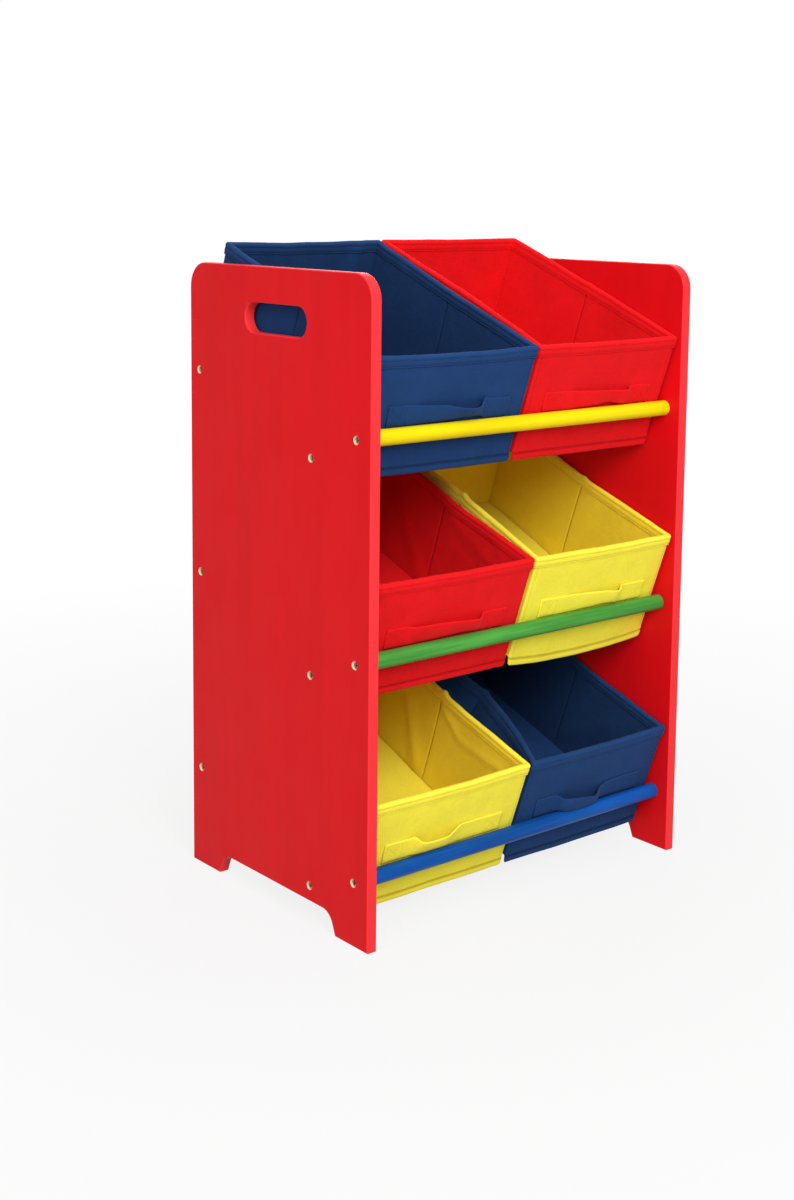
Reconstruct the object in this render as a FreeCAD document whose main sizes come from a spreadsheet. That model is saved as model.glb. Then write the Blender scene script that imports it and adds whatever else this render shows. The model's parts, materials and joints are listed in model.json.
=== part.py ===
import FreeCAD, Part
import Sketcher
import os
from FreeCAD import Vector

# A free-standing toy rack: two painted side panels joined by nine round rails on three sloping tiers,
# each tier holding two fabric bins that lean forward against the tier's front rail.
# X runs across the rack, the front faces -Y and Z is up; the origin is on the floor at the middle.

os.makedirs("parts", exist_ok=True)
doc = FreeCAD.newDocument("storage_unit")
sheet = doc.addObject("Spreadsheet::Sheet", "dims")

# Driving dimensions, in millimetres and degrees
DIMENSIONS = {
    # side panels
    "frame_width": 430,
    "panel_thickness": 12,
    "panel_depth": 300,
    "panel_height": 640,
    "panel_corner_radius": 25,
    "panel_edge_radius": 1.6,
    "foot_length": 50,
    "arch_height": 22,
    "arch_flare": 9,
    "arch_corner_radius": 17,
    "grip_length": 102,
    "grip_height": 30,
    "grip_drop": 50.5,
    # rails: the support and rear ones inset from the panels' front and rear edges, the front one
    # placed along and square to the slope of the tier
    "rail_diameter": 16,
    "rail_end_chamfer": 0.6,
    "tier_slope": 19.5,
    "support_rail_height": 38,
    "top_rail_drop": 178,
    "support_rail_inset": 91,
    "rear_rail_inset": 17,
    "front_rail_reach": 57,
    "front_rail_lift": 47,
    # screws through the panels into the rail ends
    "screw_length": 40,
    "screw_shank_diameter": 4.6,
    "screw_head_diameter": 9.6,
    "screw_head_sink": 0.3,
    "countersink_angle": 90,
    "screw_tip_length": 5,
    "screw_tip_diameter": 1,
    "screw_clearance": 0.1,
    "pilot_overrun": 2,
    "cross_recess_width": 1.4,
    "cross_recess_span": 5.4,
    "cross_recess_depth": 2,
    # fabric bins, with one gap between the two of a tier and one beside each panel
    "bin_gap": 2,
    "bin_length": 272,
    "bin_height": 116,
    "bin_corner_radius": 3,
    "fabric_thickness": 1,
    "floor_thickness": 1.4,
    "hem_drop": 9,
    "rail_gap": 0.3,
    # cardboard stiffeners sewn into the walls, and the loose board on the floor
    "board_thickness": 2,
    "board_gap": 0.15,
    "seam_margin": 5,
    "crease_width": 4,
    "base_board_thickness": 3,
    "base_board_gap": 1,
    # binding over the rim
    "binding_height": 11,
    "binding_thickness": 0.6,
    # handle strap on the front of each bin, its ends inset from the bin's sides, above the front rail
    "strap_inset": 24,
    "strap_width": 18,
    "strap_thickness": 1.4,
    "strap_tab_length": 24,
    "strap_bow": 15.5,
    "strap_rail_gap": 0.5,
}
for row, (alias, size) in enumerate(DIMENSIONS.items(), 1):
    sheet.set(f"A{row}", alias)
    sheet.set(f"B{row}", str(size))
    sheet.setAlias(f"B{row}", alias)
doc.recompute()

# Sizes worked out from the driving dimensions, as expressions
INNER_WIDTH = "(dims.frame_width - 2 * dims.panel_thickness)"
RAIL_RADIUS = "(dims.rail_diameter / 2)"
WALL = "(2 * dims.fabric_thickness + dims.board_thickness + 2 * dims.board_gap)"
SLOT = "(dims.board_thickness + 2 * dims.board_gap)"
BIN_WIDTH = f"(({INNER_WIDTH} - 3 * dims.bin_gap) / 2)"
COVER_WIDTH = f"({BIN_WIDTH} - 2 * dims.binding_thickness)"
COVER_LENGTH = "(dims.bin_length - 2 * dims.binding_thickness)"
COVER_HEIGHT = "(dims.bin_height - dims.binding_thickness)"
BIN_SPACING = f"({BIN_WIDTH} + dims.bin_gap)"
TIER_PITCH = "((dims.panel_height - dims.top_rail_drop - dims.support_rail_height) / 2)"
REAR_REACH = "((dims.panel_depth - dims.support_rail_inset - dims.rear_rail_inset) / cos(dims.tier_slope))"
STRAP_RISE = "(dims.front_rail_lift - dims.rail_gap + dims.strap_rail_gap)"

# Directions, and how near two places lie that count as one
ACROSS, UP = Vector(1, 0, 0), Vector(0, 0, 1)
TOUCH = 1e-4

TIERS = ("bottom", "middle", "top")
SIDES = {"left": -1, "right": 1}
RAILS = {
    "front": ("-dims.front_rail_reach", "dims.front_rail_lift"),
    "support": ("0", "0"),
    "rear": (REAR_REACH, "0"),
}


def value(expression):
    """The number that an expression gives with the present dimensions."""
    return float(sheet.evalExpression(expression))


def bind(thing, **expressions):
    """Bind properties of an object to expressions of the sheet."""
    for name, expression in expressions.items():
        thing.setExpression(name, expression)


def place(thing, across="0", back="0", up="0", axis="1; 0; 0", angle="0"):
    """Bind the whole placement of a body or a feature."""
    spot = f"vector({across}; {back}; {up})"
    thing.setExpression("Placement", f"placement({spot}; rotation(vector({axis}); {angle}))")


def slope_point(tier, along, lift):
    """Y and Z of a point given along and square to a tier's slope, from its support rail's centre."""
    start_back = "dims.support_rail_inset - dims.panel_depth / 2"
    start_up = f"dims.support_rail_height + {TIERS.index(tier)} * {TIER_PITCH}"
    back = f"{start_back} + ({along}) * cos(dims.tier_slope) - ({lift}) * sin(dims.tier_slope)"
    up = f"{start_up} + ({along}) * sin(dims.tier_slope) + ({lift}) * cos(dims.tier_slope)"
    return back, up


def new_body(label):
    body = doc.addObject("PartDesign::Body", label)
    body.Label = label
    body.AllowCompound = True
    return body


def origin_plane(body, role):
    return next(item for item in body.Origin.OriginFeatures if item.Role == role)


def new_sketch(body, role, name):
    """A sketch on one of the body's own origin planes."""
    sketch = body.newObject("Sketcher::SketchObject", name)
    sketch.AttachmentSupport = (origin_plane(body, role), [""])
    sketch.MapMode = "FlatFace"
    return sketch


def hold_size(sketch, constraint, expression):
    index = sketch.addConstraint(constraint)
    sketch.setExpression(f"Constraints[{index}]", expression)


def pin_point(sketch, geometry, corner, across, up):
    """Hold one point of a sketch at a place given by two expressions."""
    for kind, expression, axis in (("DistanceX", across, -2), ("DistanceY", up, -1)):
        if expression == "0":
            sketch.addConstraint(Sketcher.Constraint("PointOnObject", geometry, corner, axis))
        else:
            distance = Sketcher.Constraint(kind, -1, 1, geometry, corner, value(expression))
            hold_size(sketch, distance, expression)


def draw_outline(sketch, points):
    """A closed outline of straight lines through points given by pairs of expressions."""
    spots = [Vector(value(across), value(up), 0) for across, up in points]
    count = len(points)
    for index in range(count):
        sketch.addGeometry(Part.LineSegment(spots[index], spots[(index + 1) % count]))
    for index in range(count):
        sketch.addConstraint(Sketcher.Constraint("Coincident", index, 2, (index + 1) % count, 1))
    for index, (across, up) in enumerate(points):
        pin_point(sketch, index, 1, across, up)


def draw_circle(sketch, across, up, diameter):
    centre = Vector(value(across), value(up), 0)
    index = sketch.addGeometry(Part.Circle(centre, Vector(0, 0, 1), value(diameter) / 2))
    hold_size(sketch, Sketcher.Constraint("Diameter", index, value(diameter)), diameter)
    pin_point(sketch, index, 3, across, up)


def draw_round_ended_slot(sketch, length, height, centre_up):
    radius = value(f"({height}) / 2")
    reach = f"(({length}) - ({height})) / 2"
    left = Vector(-value(reach), value(centre_up), 0)
    right = Vector(value(reach), value(centre_up), 0)
    rise, side = Vector(0, radius, 0), Vector(radius, 0, 0)
    sketch.addGeometry(Part.Arc(left + rise, left - side, left - rise))
    sketch.addGeometry(Part.LineSegment(left - rise, right - rise))
    sketch.addGeometry(Part.Arc(right - rise, right + side, right + rise))
    sketch.addGeometry(Part.LineSegment(right + rise, left + rise))
    for index in range(4):
        sketch.addConstraint(Sketcher.Constraint("Tangent", index, 2, (index + 1) % 4, 1))
    sketch.addConstraint(Sketcher.Constraint("Equal", 0, 2))
    hold_size(sketch, Sketcher.Constraint("Radius", 0, radius), f"({height}) / 2")
    pin_point(sketch, 0, 3, f"-{reach}", centre_up)
    pin_point(sketch, 2, 3, reach, centre_up)


def pad(body, sketch, name, length, midplane=False):
    feature = body.newObject("PartDesign::Pad", name)
    feature.Profile = sketch
    feature.Midplane = midplane
    bind(feature, Length=length)
    return feature


def pocket(body, sketch, name, length=None, reverse=False):
    """A cut from the sketch's plane; without a length it goes through everything."""
    feature = body.newObject("PartDesign::Pocket", name)
    feature.Profile = sketch
    feature.Reversed = reverse
    if length is None:
        feature.Type = "ThroughAll"
    else:
        bind(feature, Length=length)
    return feature


def block(body, name, low, size, cut=False):
    """A box added to a body, or cut from it, by its low corner and its size."""
    kind = "PartDesign::SubtractiveBox" if cut else "PartDesign::AdditiveBox"
    feature = body.newObject(kind, name)
    bind(feature, Length=size[0], Width=size[1], Height=size[2])
    place(feature, *low)
    return feature


def pick_edges(feature, wanted):
    """Names of the edges of a feature that pass a test."""
    return [f"Edge{number}" for number, edge in enumerate(feature.Shape.Edges, 1) if wanted(edge)]


def runs_along(edge, direction):
    if not isinstance(edge.Curve, Part.Line):
        return False
    return abs(abs(edge.Curve.Direction.dot(direction)) - 1) < TOUCH


def round_edges(body, name, base, wanted, radius):
    doc.recompute()
    feature = body.newObject("PartDesign::Fillet", name)
    feature.Base = (base, pick_edges(base, wanted))
    bind(feature, Radius=radius)
    return feature


# Side panels

def side_panel(side):
    """A panel with its outer face at its own X = 0; the right one is turned round to face out."""
    body = new_body(f"side_panel_{side}")
    turn = -SIDES[side]
    half = "dims.panel_depth / 2"
    outline = new_sketch(body, "YZ_Plane", f"{side}_outline")
    draw_outline(outline, [(f"-{half}", "0"), (half, "0"), (half, "dims.panel_height"),
                           (f"-{half}", "dims.panel_height")])
    board = pad(body, outline, f"{side}_board", "dims.panel_thickness")
    foot = f"({half} - dims.foot_length)"
    inner = f"({foot} - dims.arch_flare)"
    arch = new_sketch(body, "YZ_Plane", f"{side}_arch_outline")
    draw_outline(arch, [(f"-{foot}", "0"), (foot, "0"), (inner, "dims.arch_height"),
                        (f"-{inner}", "dims.arch_height")])
    pocket(body, arch, f"{side}_arch", reverse=True)
    grip = new_sketch(body, "YZ_Plane", f"{side}_grip_outline")
    draw_round_ended_slot(grip, "dims.grip_length", "dims.grip_height",
                          "dims.panel_height - dims.grip_drop")
    holed = pocket(body, grip, f"{side}_grip", reverse=True)

    def at_arch_corner(edge):
        spot = edge.CenterOfMass
        return (runs_along(edge, ACROSS) and abs(abs(spot.y) - value(inner)) < TOUCH
                and abs(spot.z - value("dims.arch_height")) < TOUCH)

    def at_top_corner(edge):
        spot = edge.CenterOfMass
        return (runs_along(edge, ACROSS) and abs(abs(spot.y) - value(half)) < TOUCH
                and abs(spot.z - value("dims.panel_height")) < TOUCH)

    def on_a_face(edge):
        spots = [vertex.Point.x for vertex in edge.Vertexes]
        faces = (0, value("dims.panel_thickness"))
        return any(all(abs(x - face) < TOUCH for x in spots) for face in faces)

    arched = round_edges(body, f"{side}_arch_corners", holed, at_arch_corner, "dims.arch_corner_radius")
    topped = round_edges(body, f"{side}_top_corners", arched, at_top_corner, "dims.panel_corner_radius")
    round_edges(body, f"{side}_edges", topped, on_a_face, "dims.panel_edge_radius")
    drill_panel(body, side, turn)
    place(body, f"{SIDES[side]} * dims.frame_width / 2", axis="0; 0; 1",
          angle="0" if side == "left" else "180")
    return body


def drill_panel(body, side, turn):
    """Countersunk screw holes, one for each rail end."""
    holes = new_sketch(body, "YZ_Plane", f"{side}_hole_spots")
    for tier in TIERS:
        for along, lift in RAILS.values():
            back, up = slope_point(tier, along, lift)
            draw_circle(holes, f"{turn} * ({back})", up, "dims.screw_shank_diameter")
    doc.recompute()
    drill = body.newObject("PartDesign::Hole", f"{side}_holes")
    drill.Profile = holes
    drill.Reversed = True
    drill.Threaded = False
    drill.DepthType = "ThroughAll"
    drill.HoleCutType = "Countersink"
    drill.HoleCutCustomValues = True
    bind(drill, HoleCutCountersinkAngle="dims.countersink_angle",
         Diameter="dims.screw_shank_diameter + 2 * dims.screw_clearance",
         HoleCutDiameter="dims.screw_head_diameter + 2 * dims.screw_head_sink + 2 * dims.screw_clearance")


# Rails

def rail(kind, tier):
    """A dowel between the panels, with a pilot hole in each end."""
    body = new_body(f"{kind}_rail_{tier}")
    section = new_sketch(body, "YZ_Plane", f"{kind}_{tier}_section")
    draw_circle(section, "0", "0", "dims.rail_diameter")
    dowel = pad(body, section, f"{kind}_{tier}_dowel", INNER_WIDTH, midplane=True)
    doc.recompute()
    rim = body.newObject("PartDesign::Chamfer", f"{kind}_{tier}_ends")
    rim.Base = (dowel, pick_edges(dowel, lambda edge: isinstance(edge.Curve, Part.Circle)))
    bind(rim, Size="dims.rail_end_chamfer")
    pilot = new_sketch(body, "YZ_Plane", f"{kind}_{tier}_pilot_section")
    draw_circle(pilot, "0", "0", "dims.screw_shank_diameter + 2 * dims.screw_clearance")
    pilot.setExpression("AttachmentOffset.Base.z", f"{INNER_WIDTH} / 2")
    hole = pocket(body, pilot, f"{kind}_{tier}_pilot",
                  "dims.screw_length + dims.screw_head_sink - dims.panel_thickness + dims.pilot_overrun")
    doc.recompute()
    other = body.newObject("PartDesign::Mirrored", f"{kind}_{tier}_pilots")
    other.Originals = [hole]
    other.MirrorPlane = (origin_plane(body, "YZ_Plane"), [""])
    body.Tip = other
    back, up = slope_point(tier, *RAILS[kind])
    place(body, "0", back, up)
    return body


# Screws

def screws(side, kind):
    """The three screws, one a tier, that hold one kind of rail to one panel."""
    body = new_body(f"{kind}_rail_screws_{side}")
    head, shank = "dims.screw_head_diameter / 2", "dims.screw_shank_diameter / 2"
    head_depth = f"({head} - {shank}) / tan(dims.countersink_angle / 2)"
    profile = new_sketch(body, "XY_Plane", f"{kind}_{side}_profile")
    draw_outline(profile, [("0", "0"), ("0", head), (head_depth, shank),
                           ("dims.screw_length - dims.screw_tip_length", shank),
                           ("dims.screw_length", "dims.screw_tip_diameter / 2"),
                           ("dims.screw_length", "0")])
    turned = body.newObject("PartDesign::Revolution", f"{kind}_{side}_screw")
    turned.Profile = profile
    turned.ReferenceAxis = (profile, ["H_Axis"])
    cuts = [turned]
    for name, wide, high in (("upright", "dims.cross_recess_width", "dims.cross_recess_span"),
                             ("level", "dims.cross_recess_span", "dims.cross_recess_width")):
        cuts.append(block(body, f"{kind}_{side}_{name}", ("0", f"-{wide} / 2", f"-{high} / 2"),
                          ("dims.cross_recess_depth", wide, high), cut=True))
    doc.recompute()
    row = body.newObject("PartDesign::LinearPattern", f"{kind}_{side}_row")
    row.Originals = cuts
    row.Direction = (profile, ["N_Axis"])
    row.Occurrences = len(TIERS)
    bind(row, Length=f"{len(TIERS) - 1} * {TIER_PITCH}")
    body.Tip = row
    back, up = slope_point(TIERS[0], *RAILS[kind])
    place(body, f"{SIDES[side]} * (dims.frame_width / 2 - dims.screw_head_sink)", back, up,
          axis="0; 0; 1", angle="0" if side == "left" else "180")
    return body


# Bins, each piece drawn level with the cover's front bottom edge at its origin

def place_in_bin(body, tier, side, across="0", back="0", up="0"):
    """Tilt a piece onto its tier: the cover rests on two rails and leans on the front one."""
    along = f"{RAIL_RADIUS} + dims.rail_gap - dims.front_rail_reach + ({back}) "
    lift = f"{RAIL_RADIUS} + dims.rail_gap + ({up})"
    spot_back, spot_up = slope_point(tier, along, lift)
    place(body, f"{SIDES[side]} * {BIN_SPACING} / 2 + ({across})", spot_back, spot_up,
          angle="dims.tier_slope")


def board_places():
    """Low corner and size of each cardboard stiffener's slot in the cover's walls."""
    high = f"({COVER_HEIGHT} - dims.seam_margin)"
    half = f"({COVER_WIDTH} / 2)"
    end_width = f"({COVER_WIDTH} - 2 * dims.seam_margin)"
    side_length = f"({COVER_LENGTH} / 2 - dims.seam_margin - dims.crease_width / 2)"
    far = f"({COVER_LENGTH} - dims.fabric_thickness - {SLOT})"
    spots = {"front": (f"-{half} + dims.seam_margin", "dims.fabric_thickness", end_width, SLOT),
             "back": (f"-{half} + dims.seam_margin", far, end_width, SLOT)}
    for side, across in (("left", f"-{half} + dims.fabric_thickness"),
                         ("right", f"{half} - dims.fabric_thickness - {SLOT}")):
        spots[f"{side}_fore"] = (across, "dims.seam_margin", SLOT, side_length)
        spots[f"{side}_aft"] = (across, f"({COVER_LENGTH} + dims.crease_width) / 2", SLOT, side_length)
    return {name: ((across, back, "dims.seam_margin"), (wide, long, high))
            for name, (across, back, wide, long) in spots.items()}


def upright_corner(half_width, length):
    """A test for the upright edges at the four corners of a box on the bin's centre line."""
    def wanted(edge):
        spot = edge.CenterOfMass
        at_side = abs(abs(spot.x) - value(half_width)) < TOUCH
        at_end = min(abs(spot.y - value(end)) for end in length) < TOUCH
        return runs_along(edge, UP) and at_side and at_end
    return wanted


def bin_cover(tier, side):
    """The sewn fabric tray: double walls with a slot for each board, open at the top, and a hem that
    hangs below the base at the front and at the rear, clear of the rails."""
    name = f"{tier}_{side}"
    body = new_body(f"bin_cover_{name}")
    half = f"({COVER_WIDTH} / 2)"
    outer = block(body, f"{name}_outer", (f"-{half}", "0", "0"), (COVER_WIDTH, COVER_LENGTH, COVER_HEIGHT))
    round_edges(body, f"{name}_corners", outer, upright_corner(half, ("0", COVER_LENGTH)),
                "dims.bin_corner_radius")
    block(body, f"{name}_inside", (f"-{half} + {WALL}", WALL, "dims.floor_thickness"),
          (f"{COVER_WIDTH} - 2 * {WALL}", f"{COVER_LENGTH} - 2 * {WALL}", COVER_HEIGHT), cut=True)
    for board, (low, size) in board_places().items():
        block(body, f"{name}_{board}_slot", low, size, cut=True)
    thick, inset = "2 * dims.fabric_thickness", "dims.bin_corner_radius"
    for end, back in (("front", "0"), ("rear", f"{COVER_LENGTH} - {thick}")):
        block(body, f"{name}_{end}_hem", (f"-{half} + {inset}", back, "-dims.hem_drop"),
              (f"{COVER_WIDTH} - 2 * {inset}", thick, "dims.hem_drop + dims.fabric_thickness"))
    place_in_bin(body, tier, side)
    return body


def bin_boards(tier, side, label, names):
    """Cardboard stiffeners, each a clearance smaller than its slot."""
    body = new_body(f"{label}_{tier}_{side}")
    for board, (low, size) in board_places().items():
        if board in names:
            block(body, f"{tier}_{side}_{board}_board", [f"{edge} + dims.board_gap" for edge in low],
                  [f"{length} - 2 * dims.board_gap" for length in size])
    place_in_bin(body, tier, side)
    return body


def base_board(tier, side):
    """The loose board that stiffens the floor of the bin."""
    body = new_body(f"base_board_{tier}_{side}")
    inset = f"({WALL} + dims.base_board_gap)"
    block(body, f"{tier}_{side}_base", (f"-{COVER_WIDTH} / 2 + {inset}", inset, "dims.floor_thickness"),
          (f"{COVER_WIDTH} - 2 * {inset}", f"{COVER_LENGTH} - 2 * {inset}", "dims.base_board_thickness"))
    place_in_bin(body, tier, side)
    return body


def rim_binding(tier, side):
    """A folded strip over the rim, with a skirt outside and inside the walls."""
    name = f"{tier}_{side}"
    body = new_body(f"rim_binding_{name}")
    tape = "dims.binding_thickness"
    low = f"({COVER_HEIGHT} - dims.binding_height)"
    outside = f"({COVER_WIDTH} / 2 + {tape})"
    block(body, f"{name}_skirt", (f"-{outside}", f"-{tape}", low),
          (f"2 * {outside}", f"{COVER_LENGTH} + 2 * {tape}", f"dims.binding_height + {tape}"))
    channel = block(body, f"{name}_channel", (f"-{COVER_WIDTH} / 2", "0", low),
                    (COVER_WIDTH, COVER_LENGTH, "dims.binding_height"), cut=True)
    hollow = round_edges(body, f"{name}_channel_corners", channel,
                         upright_corner(f"{COVER_WIDTH} / 2", ("0", COVER_LENGTH)),
                         "dims.bin_corner_radius")
    round_edges(body, f"{name}_skirt_corners", hollow,
                upright_corner(outside, (f"-{tape}", f"{COVER_LENGTH} + {tape}")),
                f"dims.bin_corner_radius + {tape}")
    block(body, f"{name}_lining", (f"-{COVER_WIDTH} / 2 + {WALL}", WALL, low),
          (f"{COVER_WIDTH} - 2 * {WALL}", f"{COVER_LENGTH} - 2 * {WALL}", f"dims.binding_height + {tape}"))
    inset = f"({WALL} + {tape})"
    block(body, f"{name}_mouth", (f"-{COVER_WIDTH} / 2 + {inset}", inset, low),
          (f"{COVER_WIDTH} - 2 * {inset}", f"{COVER_LENGTH} - 2 * {inset}", f"dims.binding_height + {tape}"),
          cut=True)
    place_in_bin(body, tier, side)
    return body


def handle_strap(tier, side):
    """A band sewn flat at both ends that bows off the front in the middle, for the fingers."""
    name = f"{tier}_{side}"
    body = new_body(f"handle_strap_{name}")
    end = f"({BIN_WIDTH} / 2 - dims.strap_inset)"
    turn = f"({end} - dims.strap_tab_length)"
    thick, bow = "dims.strap_thickness", "dims.strap_bow"
    radius = f"({turn} * {turn} + {bow} * {bow}) / (2 * {bow})"
    points = [(f"-{end}", "0"), (f"-{turn}", "0"), (turn, "0"), (end, "0"), (end, f"-{thick}"),
              (turn, f"-{thick}"), (f"-{turn}", f"-{thick}"), (f"-{end}", f"-{thick}")]
    spots = [Vector(value(across), value(up), 0) for across, up in points]
    inner_arc, outer_arc = points.index((f"-{turn}", "0")), points.index((turn, f"-{thick}"))
    sketch = new_sketch(body, "XY_Plane", f"{name}_band")
    drop = Vector(0, value(bow), 0)
    for index, spot in enumerate(spots):
        following = spots[(index + 1) % len(spots)]
        if index == inner_arc:
            sketch.addGeometry(Part.Arc(spot, (spot + following) / 2 - drop, following))
        elif index == outer_arc:
            sketch.addGeometry(Part.Arc(following, (spot + following) / 2 - drop, spot))
        else:
            sketch.addGeometry(Part.LineSegment(spot, following))
    ends = {index: (1, 2) for index in range(len(spots))}
    ends[outer_arc] = (2, 1)
    for index in range(len(spots)):
        after = (index + 1) % len(spots)
        sketch.addConstraint(Sketcher.Constraint("Coincident", index, ends[index][1], after, ends[after][0]))
    for index, (across, up) in enumerate(points):
        pin_point(sketch, index, ends[index][0], across, up)
    for arc in (inner_arc, outer_arc):
        hold_size(sketch, Sketcher.Constraint("Radius", arc, value(radius)), radius)
    pad(body, sketch, f"{name}_strap", "dims.strap_width")
    place_in_bin(body, tier, side, up=STRAP_RISE)
    return body


# The whole rack

pieces = [side_panel(side) for side in SIDES]
pieces += [rail(kind, tier) for kind in RAILS for tier in TIERS]
pieces += [screws(side, kind) for side in SIDES for kind in RAILS]
for tier in TIERS:
    for side in SIDES:
        pieces.append(bin_cover(tier, side))
        pieces.append(bin_boards(tier, side, "end_boards", ("front", "back")))
        pieces.append(bin_boards(tier, side, "side_boards",
                                 ("left_fore", "left_aft", "right_fore", "right_aft")))
        pieces.append(base_board(tier, side))
        pieces.append(rim_binding(tier, side))
        pieces.append(handle_strap(tier, side))
doc.recompute()

for thing in doc.Objects:
    if {"Invalid", "Error"} & set(thing.State):
        raise RuntimeError(f"{thing.Name} did not rebuild: {thing.State}")
for piece in pieces:
    if piece.Shape.isNull() or not piece.Shape.isValid():
        raise RuntimeError(f"{piece.Label} has no valid shape")
for piece in pieces:
    piece.Shape.exportStep(f"parts/{piece.Label}.step")
    print(f"{piece.Label}: {len(piece.Shape.Solids)} solids, {piece.Shape.Volume / 1000:.2f} cm3")
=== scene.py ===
import json
import math
from collections import namedtuple

import bmesh
import bpy
import numpy as np
from mathutils import Matrix, Vector


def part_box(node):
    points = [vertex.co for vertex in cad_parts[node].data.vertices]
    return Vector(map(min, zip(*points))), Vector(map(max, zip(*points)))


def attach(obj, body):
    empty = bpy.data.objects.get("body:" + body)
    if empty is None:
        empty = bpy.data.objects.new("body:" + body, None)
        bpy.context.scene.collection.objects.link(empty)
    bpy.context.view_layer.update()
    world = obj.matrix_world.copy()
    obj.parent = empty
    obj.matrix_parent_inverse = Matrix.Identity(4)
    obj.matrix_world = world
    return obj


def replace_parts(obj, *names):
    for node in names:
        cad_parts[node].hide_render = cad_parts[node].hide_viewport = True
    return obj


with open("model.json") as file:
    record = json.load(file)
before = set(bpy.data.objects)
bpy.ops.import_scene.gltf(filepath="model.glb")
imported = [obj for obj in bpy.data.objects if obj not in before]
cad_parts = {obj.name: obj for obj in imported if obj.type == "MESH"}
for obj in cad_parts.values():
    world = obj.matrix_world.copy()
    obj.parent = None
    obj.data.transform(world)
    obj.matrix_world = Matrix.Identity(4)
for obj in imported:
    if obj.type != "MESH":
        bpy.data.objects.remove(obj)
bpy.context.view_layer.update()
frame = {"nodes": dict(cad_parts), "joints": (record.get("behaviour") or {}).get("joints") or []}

# A toy rack. The round rails are the frame's own pieces. The side panels and the screws are copies of the
# frame's, with bare board in the screw holes. Every bin's cover, binding, strap and boards are made again
# here as sewn cloth that bows, sags and creases.
# Lengths are in metres. In a bin, x runs across from its middle, b back from its front face and p square
# to its base, so one matrix puts all of a bin's pieces on their tier.

MM = 0.001

TIERS = ("bottom", "middle", "top")
SIDES = ("left", "right")
RAIL_KINDS = ("front", "support", "rear")

# The screws and their holes: how far the heads are sunk, how deep the painted shade in a head's recess
# starts and ends, how far a hole's walls stand from its middle and how little they face sideways, how narrow
# the paint leaves a hole's mouth, and how close to the panel's face a point of the mouth is.
SCREW_SINK = 1.5 * MM
RECESS_DEPTHS = (0.9 * MM, 0.2 * MM)
HOLE_REACH = 5.5 * MM
HOLE_FACING = 0.95
MOUTH_SHARE = 0.83
MOUTH_DEPTH = 0.05 * MM

# How much of a surface's direction lies along an axis that it faces, and where a noise mostly lies
FACED = 0.7
NOISE_SPAN = (0.3, 0.7)

# The cloth's dyes, the tints of painted shade on the cloth's inside and how strongly it is mottled. The
# tints draw a bin's inside darker, and the yellow's inside warmer, for the shade in it and the light its
# walls throw on each other.
CLOTH_COLOURS = {
    "navy": (0.0110, 0.044, 0.145),
    "red": (0.73, 0.0065, 0.0095),
    "yellow": (0.88, 0.77, 0.056),
}
INSIDE_SHADE_TINTS = {"navy": (0.92, 0.83, 0.78), "red": (1.0, 1.0, 1.0), "yellow": (1.0, 0.86, 0.60)}
MOTTLING = {"navy": 0.85, "red": 0.7, "yellow": 0.5}
BIN_COLOURS = {
    "top_left": "navy", "top_right": "red",
    "middle_left": "red", "middle_right": "yellow",
    "bottom_left": "yellow", "bottom_right": "navy",
}

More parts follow.
